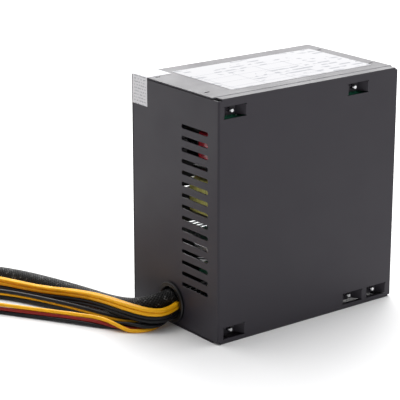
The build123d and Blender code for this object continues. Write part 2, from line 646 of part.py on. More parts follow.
def make_mains_leads():
    """Insulated leads from the inlet to the switch and the board, and the earth lead."""
    y, z = INLET_Y - 2, INLET_Z
    with BuildPart() as mains_leads:
        for route in (
            [(45.9, y, z - 7), (42, y, z - 9), (42, y, z - 24), (45, y + 1, z - 33), (48.9, y + 2, SWITCH_Z + 5)],
            [(45.9, y, z + 7), (42, y - 1, z + 7.5), (39.5, y - 8, z + 17), (41, y - 18, z + 25),
             (43, DECK + 0.2, z + 28)],
            [(48.9, y + 2, SWITCH_Z - 5), (45, y + 1, SWITCH_Z - 5), (43.5, y - 12, SWITCH_Z - 6),
             (43.5, DECK + 0.2, SWITCH_Z - 6.5)],
        ):
            radii, _ = corner_radii(route)
            with BuildLine() as path:
                FilletPolyline(*route, radius=radii)
            with BuildSketch(Plane(route[0], z_dir=Vector(*route[1]) - Vector(*route[0]))):
                Circle(1.2)
            sweep(path=path.line)
    finish(mains_leads, "mains_leads")
    tube("earth_lead", 2.4, [
        (45.9, INLET_Y + 2, INLET_Z), (41.5, INLET_Y + 1, INLET_Z + 4), (42.5, INLET_Y + 2, INLET_Z + 20),
        (50, INLET_Y + 1, INLET_Z + 27), (56.5, INLET_Y - 1, INLET_Z + 27.5),
        (63, INLET_Y - 1, INLET_Z + 26.5)])
    with BuildPart() as earth_screw:
        x, screw_y, screw_z = X1 - SHEET, INLET_Y - 1, INLET_Z + 26.5
        rod((x - 4.4, screw_y, screw_z), ALONG_X, 3.3, 4.4)
        rod((x - 5.6, screw_y, screw_z), ALONG_X, 1.9, 1.2)
    finish(earth_screw, "earth_screw")


def make_fan_lead():
    tube("fan_lead", 2.4, [
        (48, FAN_TOP - FAN_THICK - 0.1, 28), (48, 12.5, 27.5), (50.5, -6, 24), (56, -18, 21),
        (57, DECK + 6.1, 20)])
    with BuildPart() as fan_plug:
        block((54, DECK, 17), (60, DECK + 6, 23))
    finish(fan_plug, "fan_plug")


# ---- output cables ------------------------------------------------------------------------------
MAIN_D, CPU_D, SATA_D, DRIVE_D = 11.0, 6.9, 5.6, 5.3
STRAP_AT = [(-214.0, 121.0, 157.2), (-289.0, 121.6, 157.4)]  # x, lowest and highest y
MAIN_ROUTE = [
    (-68.8, 4.5, 17.5), (-80, 5.5, 16.6), (-86.5, 19, 12.5), (-87.5, 42, 7.1), (-91, 67, 5.6),
    (-99, 93, 5.6), (-110, 120, 5.6), (-126, 142, 5.6), (-152, 152, 5.8), (-200, 149.4, 6.7),
    (-256, 150.4, 6.7), (-312.4, 150, 6.5), (-337, 125.4, 5.6), (-337, 90.6, 5.6), (-312.4, 66, 5.6),
    (-285, 60, 5.6), (-266, 53, 5.6),
]
CPU_ROUTE = [
    (-68.8, -2.3, 11.4), (-78.5, -3, 11.6), (-88.5, 1.5, 11.2), (-95.5, 14, 10.2), (-98, 37, 7.4),
    (-101, 61, 5.2), (-109.5, 87, 4.2), (-119.5, 111, 4), (-133, 131.5, 4), (-153, 141, 4),
    (-178, 140.5, 4.3), (-236, 139.3, 4.6), (-308.2, 139.9, 4.4), (-326.9, 121.2, 3.5),
    (-326.9, 94.8, 3.5), (-308.2, 76.1, 3.5), (-272, 75, 3.5), (-236, 76.2, 3.5), (-208, 76.5, 3.5),
]
SATA_ROUTE = [
    (-68.8, 8.8, 10.2), (-76.5, 8.6, 8.1), (-85.5, 8, 5), (-94, 12.5, 3.1), (-101, 26, 2.85),
    (-106, 43, 2.85), (-112, 61, 2.85), (-119, 79, 2.85), (-127.5, 97, 2.85), (-139, 114, 2.85),
    (-156, 127, 2.85), (-182, 132.5, 3.6), (-214, 133, 3.95), (-246, 133, 3.95), (-305.2, 132.7, 3.8),
    (-319.7, 118.2, 2.85), (-319.7, 97.8, 2.85), (-305.2, 83.3, 2.85), (-272, 84.5, 2.85),
    (-232, 91, 2.85),
]
DRIVE_ROUTE = [
    (-68.8, 3.4, 7.8), (-76.5, 1.8, 6.3), (-85, -2.2, 4.2), (-93.5, -1, 2.8), (-100.5, 8.5, 2.7),
    (-108, 22, 2.7), (-116, 37, 2.7), (-125.5, 52, 2.7), (-135.5, 67, 2.7), (-146, 83, 2.7),
    (-158, 100, 2.7), (-175, 115.5, 2.7), (-202, 125, 3.8), (-250, 126.4, 3.8), (-302.5, 126, 3.7),
    (-313, 115.5, 2.7), (-313, 100.5, 2.7), (-302.5, 90, 2.7), (-286, 91.5, 2.7), (-274, 99, 2.7),
    (-266, 101.5, 2.7),
]


def plug_plane(route, ahead, height):
    """The plane of a plug lying flat at a cable's end: X across it, Y upwards, Z the way it points."""
    (xa, ya, _), (xb, yb, _) = route[-2], route[-1]
    angle = atan2(yb - ya, xb - xa)
    forward = (cos(angle), sin(angle), 0)
    origin = (xb + ahead * cos(angle), yb + ahead * sin(angle), height)
    return Plane(origin, x_dir=(-sin(angle), cos(angle), 0), z_dir=forward)


def square_plug(name, plane, shift, columns, rows, long, latch):
    """A power plug: a nylon body with a grid of square sockets at its front and a latch on top."""
    pitch, wall = 4.2, 0.5
    wide, high = columns * pitch + 2 * wall, rows * pitch + 2 * wall
    with BuildPart() as plug:
        with BuildSketch(plane):
            with Locations((shift, 0)):
                Rectangle(wide, high)
        extrude(amount=long)
        with BuildSketch(plane.offset(long - 9)):
            with Locations((shift, 0)):
                with GridLocations(pitch, pitch, columns, rows):
                    RectangleRounded(3.3, 3.3, 0.8)
        extrude(amount=9, mode=Mode.SUBTRACT)
        with BuildSketch(plane.offset(long - 12)):
            with Locations((shift, high / 2 + 0.9)):
                Rectangle(latch, 1.8)
        extrude(amount=4)
        with BuildSketch(plane.offset(long - 11)):
            with Locations((shift, high / 2 + 2.1)):
                Rectangle(latch, 1.2)
        extrude(amount=13)
    finish(plug, name)


def make_plugs():
    fan_long = 38.0
    start = plug_plane(MAIN_ROUTE, 0, 5.6)
    with BuildPart() as main_fan_out:
        with BuildSketch(start):
            RectangleRounded(MAIN_D - 0.2, MAIN_D - 0.2, MAIN_D / 2 - 0.6)
        with BuildSketch(start.offset(fan_long)):
            RectangleRounded(50, 8.4, 3)
        loft()
    finish(main_fan_out, "main_fan_out")
    plane = plug_plane(MAIN_ROUTE, fan_long + 0.05, 5.6)
    square_plug("main_plug_20_pin", plane, -4.45, 10, 2, 19.0, 7.0)
    square_plug("main_plug_4_pin", plane, 21.8, 2, 2, 19.0, 4.0)
    plane = plug_plane(CPU_ROUTE, 0.05, 4.9)
    square_plug("processor_plug_front", plane, -4.8, 2, 2, 17.0, 4.0)
    square_plug("processor_plug_rear", plane, 4.8, 2, 2, 17.0, 4.0)
    with BuildPart() as sata_plug:
        plane = plug_plane(SATA_ROUTE, 0.05, 3.5)
        with BuildSketch(plane):
            Rectangle(22.4, 6.4)
        extrude(amount=8)
        with BuildSketch(plane.offset(8)):
            Rectangle(21.2, 5.0)
        extrude(amount=6)
        with BuildSketch(plane.offset(7)):
            with Locations((0, 0.4)):
                Rectangle(18.2, 1.3)
            with Locations((-8.6, -0.5)):
                Rectangle(1.3, 2.4)
        extrude(amount=8, mode=Mode.SUBTRACT)
    finish(sata_plug, "sata_plug")
    with BuildPart() as drive_plug:
        plane = plug_plane(DRIVE_ROUTE, 0.05, 4.4)
        with BuildSketch(plane) as outline:
            Rectangle(21.0, 8.2)
            chamfer(outline.vertices().group_by(SortBy.DISTANCE)[-1][:1], 1.2)
        extrude(amount=16)
        with BuildSketch(plane.offset(8)):
            with GridLocations(5.08, 0, 4, 1):
                Circle(1.7)
        extrude(amount=9, mode=Mode.SUBTRACT)
    finish(drive_plug, "drive_plug")


def make_straps():
    """Hook-and-loop straps that hold the folded cables side by side."""
    wide, high, thick = 9.0, 13.4, 1.0
    with BuildPart() as cable_straps:
        for x, y_low, y_high in STRAP_AT:
            across = y_high - y_low
            with BuildSketch(Plane.YZ.offset(x)):
                with Locations(((y_low + y_high) / 2, high / 2)):
                    RectangleRounded(across, high, 4.5)
                    RectangleRounded(across - 2 * thick, high - 2 * thick, 3.5, mode=Mode.SUBTRACT)
            extrude(amount=wide)
    finish(cable_straps, "cable_straps")


def main():
    os.makedirs("parts", exist_ok=True)
    make_base_tray()
    make_top_cover()
    make_cover_screws()
    make_labels()
    make_grommet()
    make_board()
    make_power_parts()
    make_capacitors()
    make_magnetics()
    make_small_parts()
    make_fan()
    make_inlet()
    make_switch()
    make_mains_leads()
    make_fan_lead()
    tube("main_cable", MAIN_D, MAIN_ROUTE)
    tube("processor_cable", CPU_D, CPU_ROUTE)
    tube("sata_cable", SATA_D, SATA_ROUTE)
    tube("drive_cable", DRIVE_D, DRIVE_ROUTE)
    make_plugs()
    make_straps()


main()
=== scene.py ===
from math import cos, pi, radians, sin

import bpy
import numpy as np
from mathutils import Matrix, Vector


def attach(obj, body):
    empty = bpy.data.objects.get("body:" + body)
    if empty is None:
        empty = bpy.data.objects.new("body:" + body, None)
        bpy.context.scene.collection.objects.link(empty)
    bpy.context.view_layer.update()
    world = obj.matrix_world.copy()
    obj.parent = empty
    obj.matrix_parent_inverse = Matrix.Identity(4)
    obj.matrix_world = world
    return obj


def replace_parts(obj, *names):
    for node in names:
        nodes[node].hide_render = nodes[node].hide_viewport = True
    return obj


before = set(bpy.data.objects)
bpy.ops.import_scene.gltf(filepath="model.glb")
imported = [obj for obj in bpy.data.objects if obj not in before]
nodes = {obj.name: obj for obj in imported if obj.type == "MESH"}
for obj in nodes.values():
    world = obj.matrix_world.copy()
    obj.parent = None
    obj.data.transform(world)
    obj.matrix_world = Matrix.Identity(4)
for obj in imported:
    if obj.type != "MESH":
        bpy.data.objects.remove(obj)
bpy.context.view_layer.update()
scene = bpy.context.scene


# ---- materials: helpers -------------------------------------------------------------------------
class Paint:
    """A procedural material under construction: its nodes, and the sockets that later steps use."""

    def __init__(self, name, colour, rough, metal=0.0, **sockets):
        self.material = bpy.data.materials.new(name)
        self.material.use_nodes = True
        self.tree = self.material.node_tree
        self.shader = self.tree.nodes["Principled BSDF"]
        self.colour = (*colour, 1.0)
        self.rough = rough
        self.set("Base Color", self.colour)
        self.set("Roughness", rough)
        self.set("Metallic", metal)
        for socket, value in sockets.items():
            self.set(socket.replace("_", " "), value)
        self.place = self.node("ShaderNodeTexCoord").outputs["Object"]
        self.height = None

    def set(self, socket, value):
        self.shader.inputs[socket].default_value = value

    def node(self, kind, **values):
        """A new node, with values for its properties or else its inputs (with _ for a space)."""
        node = self.tree.nodes.new(kind)
        for name, value in values.items():
            if hasattr(node, name):
                setattr(node, name, value)
            else:
                node.inputs[name.replace("_", " ")].default_value = value
        return node

    def link(self, a, b):
        self.tree.links.new(a, b)

    def stretched(self, scale):
        """The piece's own coordinates, scaled along each axis."""
        mapping = self.node("ShaderNodeMapping")
        mapping.inputs["Scale"].default_value = scale
        self.link(self.place, mapping.inputs["Vector"])
        return mapping.outputs["Vector"]

    def noise(self, scale, detail=3.0, vector=None):
        noise = self.node("ShaderNodeTexNoise", Scale=scale, Detail=detail)
        self.link(vector or self.place, noise.inputs["Vector"])
        return noise.outputs["Fac"]

    def maths(self, operation, a, b=None):
        """A maths node's result; a and b are sockets or numbers."""
        node = self.node("ShaderNodeMath", operation=operation)
        for socket, value in zip(node.inputs, (a, b)):
            if value is None:
                continue
            if isinstance(value, (int, float)):
                socket.default_value = value
            else:
                self.link(value, socket)
        return node.outputs[0]

    def ramp(self, factor, stops):
        """A colour ramp; each stop is a place and a colour or a grey."""
        ramp = self.node("ShaderNodeValToRGB")
        elements = ramp.color_ramp.elements
        while len(elements) < len(stops):
            elements.new(0.5)
        for element, (place, value) in zip(elements, stops):
            element.position = place
            element.color = (*value, 1) if hasattr(value, "__len__") else (value, value, value, 1)
        self.link(factor, ramp.inputs["Fac"])
        return ramp.outputs["Color"]

    def mix(self, factor, a, b):
        """Colour a where the factor is 0 and b where it is 1."""
        mix = self.node("ShaderNodeMix", data_type="RGBA")
        for socket, value in ((mix.inputs[0], factor), (mix.inputs[6], a), (mix.inputs[7], b)):
            if hasattr(value, "is_linked"):
                self.link(value, socket)
            elif isinstance(value, (int, float)):
                socket.default_value = value
            else:
                socket.default_value = (*value[:3], 1)
        return mix.outputs[2]

    def tint(self, factor, spread):
        """Vary the base colour about its own value by a factor map."""
        low = [c * (1 - spread) for c in self.colour[:3]]
        high = [min(1.0, c * (1 + spread)) for c in self.colour[:3]]
        self.link(self.ramp(factor, [(0.3, low), (0.7, high)]), self.shader.inputs["Base Color"])
        return self

    def polish(self, factor, spread):
        """Vary the roughness about its own value by a factor map."""
        low, high = max(0.02, self.rough - spread), min(1.0, self.rough + spread)
        self.link(self.ramp(factor, [(0.3, low), (0.7, high)]), self.shader.inputs["Roughness"])
        return self

    def bump(self, factor, distance, strength=1.0):
        """Relief from a height map, over any bump that the material already has."""
        bump = self.node("ShaderNodeBump", Strength=strength, Distance=distance)
        self.link(factor, bump.inputs["Height"])
        if self.height:
            self.link(self.height, bump.inputs["Normal"])
        self.height = bump.outputs["Normal"]
        self.link(self.height, self.shader.inputs["Normal"])
        return self

    def axis(self, index):
        """One of the piece's coordinates, in metres."""
        split = self.node("ShaderNodeSeparateXYZ")
        self.link(self.place, split.inputs[0])
        return split.outputs[index]

    def facing(self, index):
        """One part of the surface normal."""
        geometry = self.node("ShaderNodeNewGeometry")
        split = self.node("ShaderNodeSeparateXYZ")
        self.link(geometry.outputs["Normal"], split.inputs[0])
        return split.outputs[index]

    def uv(self, index):
        """U, round a tube, or V, along it in metres."""
        coordinates = self.node("ShaderNodeTexCoord").outputs["UV"]
        split = self.node("ShaderNodeSeparateXYZ")
        self.link(coordinates, split.inputs[0])
        return split.outputs[index]


def moulded(name, colour, rough=0.42, grain=900.0, depth=0.00004):
    """Injection-moulded plastic: a fine spark texture, with faint cloudy gloss."""
    paint = Paint(name, colour, rough)
    paint.tint(paint.noise(60, 4), 0.12)
    paint.polish(paint.noise(25, 5), 0.08)
    paint.bump(paint.noise(grain, 2), depth, 0.5)
    return paint.material


def metal(name, colour, rough, scale=(1500, 60, 60), depth=0.00001):
    """Metal with fine drawn or rolled lines along one axis."""
    paint = Paint(name, colour, rough, metal=1.0)
    lines = paint.noise(1.0, 4, paint.stretched(scale))
    paint.tint(paint.noise(45, 5), 0.10)
    paint.polish(lines, 0.10)
    paint.bump(lines, depth, 0.6)
    return paint.material


def insulation(name, colour):
    """PVC wire insulation: soft gloss with slight handling marks."""
    paint = Paint(name, colour, 0.36, IOR=1.5, Specular_IOR_Level=0.28)
    paint.tint(paint.noise(120, 4), 0.10)
    paint.polish(paint.noise(260, 3), 0.09)
    paint.bump(paint.noise(700, 2), 0.00004, 0.35)
    return paint.material


# ---- materials: the kinds -----------------------------------------------------------------------
def powder_coat():
    """Semi-matt black powder paint, with its fine orange peel."""
    paint = Paint("powder_coat", (0.0285, 0.0252, 0.0330), 0.43, IOR=1.5, Specular_IOR_Level=0.27)
    paint.tint(paint.noise(14, 6), 0.07)
    paint.polish(paint.noise(55, 5), 0.05)
    paint.bump(paint.noise(1500, 3), 0.00003, 0.35)
    return paint.material


def board_mask():
    """Solder mask over copper, with tinned pads. The pattern is turned to lie on an upright board."""
    paint = Paint("board_mask", (0.008, 0.11, 0.06), 0.38)
    brick = paint.node("ShaderNodeTexBrick", Scale=130.0, Mortar_Size=0.07, Bias=-0.2)
    turned = paint.node("ShaderNodeMapping")
    turned.inputs["Rotation"].default_value = (pi / 2, 0, 0)
    paint.link(paint.place, turned.inputs["Vector"])
    paint.link(turned.outputs[0], brick.inputs["Vector"])
    copper = paint.mix(brick.outputs["Fac"], (0.006, 0.085, 0.048), (0.02, 0.20, 0.11))
    pads = paint.node("ShaderNodeTexVoronoi", Scale=210.0)
    paint.link(paint.place, pads.inputs["Vector"])
    solder = paint.maths("LESS_THAN", pads.outputs["Distance"], 0.16)
    paint.link(paint.mix(solder, copper, (0.62, 0.63, 0.64)), paint.shader.inputs["Base Color"])
    paint.bump(paint.maths("ADD", solder, brick.outputs["Fac"]), 0.00008, 0.5)
    return paint.material


def sleeved_can(name, sleeve, stripe):
    """A capacitor: printed sleeve with a pale stripe, and a bare aluminium top."""
    paint = Paint(name, sleeve, 0.3)
    bands = paint.maths("SINE", paint.maths("MULTIPLY", paint.axis(0), 420.0))
    marked = paint.mix(paint.maths("GREATER_THAN", bands, 0.93), sleeve, stripe)
    top = paint.maths("GREATER_THAN", paint.facing(1), 0.9)
    paint.link(paint.mix(top, marked, (0.72, 0.73, 0.74)), paint.shader.inputs["Base Color"])
    paint.link(top, paint.shader.inputs["Metallic"])
    paint.bump(paint.noise(500, 3), 0.00003, 0.4)
    return paint.material


def wrapped_tape(name, colour, spacing=1.0):
    """Layers of yellow polyester tape, whose edges show as fine lines."""
    paint = Paint(name, colour, 0.28)
    layers = paint.noise(1.0, 3, paint.stretched((60, 900 * spacing, 60)))
    paint.tint(layers, 0.22)
    paint.polish(paint.noise(90, 4), 0.08)
    paint.bump(layers, 0.0001, 0.5)
    return paint.material


def ferrite():
    """Pressed and fired ferrite: dark, grainy and dull."""
    paint = Paint("ferrite", (0.05, 0.05, 0.054), 0.55)
    paint.tint(paint.noise(900, 4), 0.4)
    paint.bump(paint.noise(450, 5), 0.00008, 0.6)
    return paint.material


PRINT_GREY = (0.22, 0.23, 0.26)


def label_paper():
    """White label stock with faint grey rows, ruled boxes and bars that say nothing."""
    white, rows_per_metre = (0.545, 0.543, 0.557), 180.0
    table_columns, table_lines = 44.0, 88.0  # per metre
    table_ends, table_top = 0.028, 0.012  # in x and in y
    paint = Paint("label_paper", white, 0.9, IOR=1.15)
    x, y = paint.axis(0), paint.axis(1)
    rows = paint.maths("FRACT", paint.maths("MULTIPLY", y, rows_per_metre))
    in_row = paint.maths("LESS_THAN", rows, 0.4)
    words = paint.noise(1.0, 1.0, paint.stretched((150, rows_per_metre, 1)))
    word = paint.maths("GREATER_THAN", words, 0.5)
    blocks = paint.maths("GREATER_THAN", paint.noise(1.0, 0.0, paint.stretched((38, 60, 1))), 0.47)
    ink = paint.maths("MULTIPLY", paint.maths("MULTIPLY", in_row, word), blocks)
    columns = paint.maths("LESS_THAN", paint.maths("FRACT", paint.maths("MULTIPLY", x, table_columns)), 0.02)
    lines = paint.maths("LESS_THAN", paint.maths("FRACT", paint.maths("MULTIPLY", y, table_lines)), 0.035)
    table = paint.maths("MAXIMUM", columns, lines)
    inside = paint.maths("MULTIPLY", paint.maths("LESS_THAN", x, table_ends),
                         paint.maths("LESS_THAN", y, table_top))
    table = paint.maths("MULTIPLY", table, inside)
    mark = paint.maths("MAXIMUM", paint.maths("MULTIPLY", ink, 0.55), paint.maths("MULTIPLY", table, 0.6))
    paint.link(paint.mix(mark, white, PRINT_GREY), paint.shader.inputs["Base Color"])
    paint.bump(paint.noise(220, 5), 0.00006, 0.4)
    return paint.material


def sticker_paper():
    """A small seal: white film with fine grey bars, and a plain rim."""
    white, bars_per_metre = (0.74, 0.735, 0.757), 520.0
    middle, half_print = 0.0345, 0.0062  # in y
    paint = Paint("sticker_paper", white, 0.8, IOR=1.2)
    upright = paint.maths("ADD", paint.axis(2), paint.maths("MULTIPLY", paint.axis(0), -1.0))
    bars = paint.maths("FRACT", paint.maths("MULTIPLY", upright, bars_per_metre))
    in_bar = paint.maths("LESS_THAN", bars, 0.45)
    words = paint.noise(1.0, 1.0, paint.stretched((500, 900, 500)))
    ink = paint.maths("MULTIPLY", in_bar, paint.maths("GREATER_THAN", words, 0.5))
    off_middle = paint.maths("ABSOLUTE", paint.maths("SUBTRACT", paint.axis(1), middle))
    printed = paint.maths("LESS_THAN", off_middle, half_print)
    ink = paint.maths("MULTIPLY", paint.maths("MULTIPLY", ink, printed), 0.55)
    paint.link(paint.mix(ink, white, PRINT_GREY), paint.shader.inputs["Base Color"])
    paint.bump(paint.noise(300, 4), 0.00005, 0.4)
    return paint.material


STRANDS, STRAND_PITCH = 15, 560.0  # strands each way round the sleeve, and their crossings per metre


def braid():
    """An expandable mesh sleeve: bundles of monofilament that cross on the slant over a dark inside, with
    painted shade in the gaps over the black wires and painted glints on the strands.
    """
    paint = Paint("mesh_sleeve", (0.006, 0.006, 0.007), 0.34, Specular_IOR_Level=0.35)
    around = paint.maths("MULTIPLY", paint.uv(0), 2 * pi * STRANDS)
    along = paint.maths("MULTIPLY", paint.uv(1), 2 * pi * STRAND_PITCH)
    right = paint.maths("SINE", paint.maths("ADD", around, along))
    left = paint.maths("SINE", paint.maths("SUBTRACT", around, along))
    strands = paint.maths("MAXIMUM", right, left)
    # painted glints: pale base colour in random spots along the strands; painted shade: the darkest base
    # colour, between the strands
    painted_glints = paint.maths("MULTIPLY", strands, paint.ramp(paint.noise(420, 2), [(0.52, 0.25), (0.66, 1.0)]))
    paint.link(paint.ramp(painted_glints, [(0.2, 0.0015), (0.55, 0.008), (0.9, 0.16)]),
               paint.shader.inputs["Base Color"])
    paint.link(paint.ramp(strands, [(0.3, 0.75), (0.9, 0.3)]), paint.shader.inputs["Roughness"])
    paint.bump(strands, 0.0005, 0.8)
    return paint.material


def hook_and_loop():
    """Woven strap with a short pile."""
    paint = Paint("hook_and_loop", (0.022, 0.022, 0.024), 0.85, Sheen_Weight=0.35)
    paint.tint(paint.noise(1600, 2), 0.5)
    paint.bump(paint.noise(2200, 3), 0.0003, 0.9)
    return paint.material


def resistor():
    """Axial parts: buff bodies with colour bands and tinned leads."""
    paint = Paint("resistor", (0.55, 0.40, 0.24), 0.4)
    bands = paint.maths("FRACT", paint.maths("MULTIPLY", paint.axis(0), 900.0))
    body = (0.5, 0.36, 0.2)
    colours = paint.ramp(bands, [(0.0, body), (0.4, (0.25, 0.05, 0.02)), (0.55, body), (0.8, 0.02)])
    paint.link(colours, paint.shader.inputs["Base Color"])
    return paint.material


def enamel(name, colour):
    """Enamelled copper wire."""
    paint = Paint(name, colour, 0.25, Metallic=0.55)
    paint.tint(paint.noise(200, 3), 0.2)
    paint.polish(paint.noise(400, 2), 0.07)
    return paint.material


def clear_film():
    """A milky insulation sheet."""
    paint = Paint("clear_film", (0.5, 0.52, 0.5), 0.3)
    paint.tint(paint.noise(80, 3), 0.08)
    paint.set("Alpha", 0.55)
    paint.bump(paint.noise(40, 4), 0.0004, 0.3)
    return paint.material


def dipped_epoxy(name, colour):
    """Glossy dipped or cast resin, slightly uneven."""
    paint = Paint(name, colour, 0.22, Coat_Weight=0.3)
    paint.tint(paint.noise(150, 3), 0.15)
    paint.bump(paint.noise(90, 3), 0.0003, 0.3)
    return paint.material


COLOURS = {
    "yellow": (0.93, 0.45, 0.006), "black": (0.008, 0.008, 0.0095), "red": (0.25, 0.012, 0.008),
    "orange": (0.70, 0.16, 0.02), "blue": (0.03, 0.07, 0.34), "green": (0.03, 0.20, 0.06),
    "violet": (0.16, 0.05, 0.24), "grey": (0.24, 0.24, 0.25), "white": (0.74, 0.74, 0.72),
}
WIRE = {name: insulation("wire_" + name, colour) for name, colour in COLOURS.items()}

COAT = powder_coat()
BLACK_PLASTIC = moulded("black_plastic", (0.017, 0.017, 0.018))
NYLON = moulded("black_nylon", (0.020, 0.020, 0.021), 0.36)
WHITE_NYLON = moulded("white_nylon", (0.66, 0.65, 0.60), 0.4)
BLACK_EPOXY = moulded("black_epoxy", (0.018, 0.018, 0.018), 0.5, grain=600, depth=0.00006)
STEEL = metal("bright_steel", (0.62, 0.62, 0.63), 0.26, (900, 900, 90))
DARK_STEEL = moulded("blacked_steel", (0.016, 0.016, 0.018), 0.3, grain=1300, depth=0.00002)
TINPLATE = metal("nickel_plate", (0.70, 0.68, 0.63), 0.2, (70, 900, 900))
ALUMINIUM = metal("heatsink_aluminium", (0.66, 0.67, 0.68), 0.34, (40, 1400, 1400), depth=0.00003)

FINISHES = {
    "base_tray": COAT, "top_cover": COAT, "cover_screws": DARK_STEEL, "rating_label": label_paper(),
    "warranty_sticker": sticker_paper(), "cable_grommet": moulded("grommet", (0.004, 0.004, 0.005), 0.36),
    "circuit_board": board_mask(), "board_screws": STEEL, "insulation_sheet": clear_film(),
    "primary_heatsink": ALUMINIUM, "secondary_heatsink": ALUMINIUM, "switching_transistors": BLACK_EPOXY,
    "output_rectifiers": BLACK_EPOXY, "bridge_rectifier": BLACK_EPOXY,
    "bulk_capacitors": sleeved_can("bulk_sleeve", (0.015, 0.03, 0.10), (0.5, 0.52, 0.55)),
    "output_capacitors": sleeved_can("output_sleeve", (0.015, 0.09, 0.05), (0.6, 0.55, 0.2)),
    "film_capacitor": dipped_epoxy("red_epoxy", (0.52, 0.022, 0.04)),
    "mains_capacitor": dipped_epoxy("yellow_box", (0.75, 0.50, 0.05)),
    "transformer_core": ferrite(), "transformer_winding": wrapped_tape("yellow_tape", (0.90, 0.80, 0.24)),
    "standby_winding": wrapped_tape("standby_tape", (0.88, 0.78, 0.22), 1.4),
    "fuse": dipped_epoxy("fuse_sleeve", (0.62, 0.60, 0.54)),
    "thermistor": dipped_epoxy("thermistor_coat", (0.02, 0.09, 0.06)),
    "small_parts": resistor(), "fan_frame": BLACK_PLASTIC, "fan_rotor": BLACK_PLASTIC,
    "fan_stator": enamel("stator_copper", (0.45, 0.16, 0.05)), "fan_grille": DARK_STEEL,
    "fan_screws": DARK_STEEL, "fan_lead": WIRE["red"], "fan_plug": WHITE_NYLON,
    "inlet_housing": moulded("inlet_plastic", (0.014, 0.014, 0.015), 0.46), "inlet_pins": TINPLATE,
    "inlet_screws": STEEL, "switch_housing": BLACK_PLASTIC, "switch_terminals": TINPLATE,
    "mains_leads": WIRE["black"], "earth_lead": WIRE["green"], "earth_screw": STEEL,
    "main_plug_20_pin": NYLON, "main_plug_4_pin": NYLON, "processor_plug_front": NYLON,
    "processor_plug_rear": NYLON, "sata_plug": NYLON, "drive_plug": WHITE_NYLON,
    "cable_straps": hook_and_loop(), "switch_rocker": moulded("rocker_plastic", (0.02, 0.02, 0.022), 0.28),
}
FINISHES["standby_core"] = FINISHES["driver_transformer"] = FINISHES["transformer_core"]
FINISHES["control_board"] = FINISHES["circuit_board"]
for name, material in FINISHES.items():
    mesh = nodes[name].data
    mesh.materials.clear()
    mesh.materials.append(material)


# ---- mesh helpers -------------------------------------------------------------------------------
def add_piece(name, vertices, faces, materials, uvs=None, face_material=None, body="casing",
              smooth=True):
    """A mesh piece in the row frame, riding on a body, with its finish and material slot."""
    mesh = bpy.data.meshes.new(name)
    mesh.from_pydata(vertices, [], faces)
    for material in materials:
        mesh.materials.append(material)
    if face_material is not None:
        mesh.polygons.foreach_set("material_index", face_material)
    if uvs is not None:
        layer = mesh.uv_layers.new(name="along")
        layer.data.foreach_set("uv", np.asarray(uvs, float).ravel())
    mesh.polygons.foreach_set("use_smooth", [smooth] * len(mesh.polygons))
    mesh.update()
    piece = bpy.data.objects.new(name, mesh)
    scene.collection.objects.link(piece)
    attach(piece, body)
    return piece


def distances(points):
    """How far along the line each point lies."""
    return np.concatenate([[0], np.cumsum(np.linalg.norm(np.diff(points, axis=0), axis=1))])


def smooth_step(t):
    """0 up to t = 0, 1 from t = 1 and a smooth rise between them."""
    t = np.clip(t, 0, 1)
    return t * t * (3 - 2 * t)


def resampled(points, step):
    """Points spaced evenly along a polyline."""
    points = np.asarray(points, float)
    along = distances(points)
    count = max(4, int(round(along[-1] / step)) + 1)
    at = np.linspace(0, along[-1], count)
    return np.stack([np.interp(at, along, points[:, k]) for k in range(3)], axis=1)


def frames(points):
    """Along each point: the way the line goes, the level way towards its left, and up."""
    forward = np.gradient(points, axis=0)
    forward /= np.linalg.norm(forward, axis=1)[:, None]
    left = np.cross([0.0, 0.0, 1.0], forward)
    left /= np.linalg.norm(left, axis=1)[:, None]
    return forward, left, np.cross(forward, left)


def tube_mesh(points, radius, sides, first_vertex=0):
    """Vertices, faces and UVs of a capped round tube along points. U goes round and V along, in metres."""
    points = np.asarray(points, float)
    _, left, up = frames(points)
    turns = np.arange(sides) * 2 * pi / sides
    radius = np.broadcast_to(np.asarray(radius, float), (len(points),))
    ring = np.cos(turns)[None, :, None] * left[:, None, :] + np.sin(turns)[None, :, None] * up[:, None, :]
    vertices = (points[:, None, :] + radius[:, None, None] * ring).reshape(-1, 3)
    along = distances(points)
    faces, uvs = [], []
    for i in range(len(points) - 1):
        for j in range(sides):
            k = (j + 1) % sides
            faces.append([first_vertex + i * sides + j, first_vertex + (i + 1) * sides + j,
                          first_vertex + (i + 1) * sides + k, first_vertex + i * sides + k])
            uvs += [(j / sides, along[i]), (j / sides, along[i + 1]), ((j + 1) / sides, along[i + 1]),
                    ((j + 1) / sides, along[i])]
    last = first_vertex + (len(points) - 1) * sides
    faces.append([first_vertex + j for j in range(sides)])
    uvs += [(0.5, 0.0)] * sides
    faces.append([last + j for j in reversed(range(sides))])
    uvs += [(0.5, along[-1])] * sides
    return vertices, faces, uvs


class Harness:
    """Many tubes gathered into one mesh, each with its own material."""

    def __init__(self):
        self.vertices, self.faces, self.uvs, self.face_material, self.materials = [], [], [], [], []

    def add(self, points, radius, material, sides=10):
        if material not in self.materials:
            self.materials.append(material)
        vertices, faces, uvs = tube_mesh(points, radius, sides, sum(len(v) for v in self.vertices))
        self.vertices.append(vertices)
        self.faces += faces
        self.uvs += uvs
        self.face_material += [self.materials.index(material)] * len(faces)

    def piece(self, name, slot):
        return add_piece(name, np.concatenate(self.vertices), self.faces, self.materials, self.uvs,
                         self.face_material)


# ---- output cables ------------------------------------------------------------------------------
WIRE_R, LEAD_R, STRANDED_R = 0.0012, 0.00105, 0.00095  # wires in the cables, the casing and the sleeve
SLEEVE_R, SHRINK_R = 0.0053, 0.00558
MAIN_STEP, SHRINK_STEPS = 0.0009, 19  # between points of the main line, and how many the heat-shrink covers


def metres(points):
    """Points given in millimetres."""
    return [tuple(value / 1000 for value in point) for point in points]


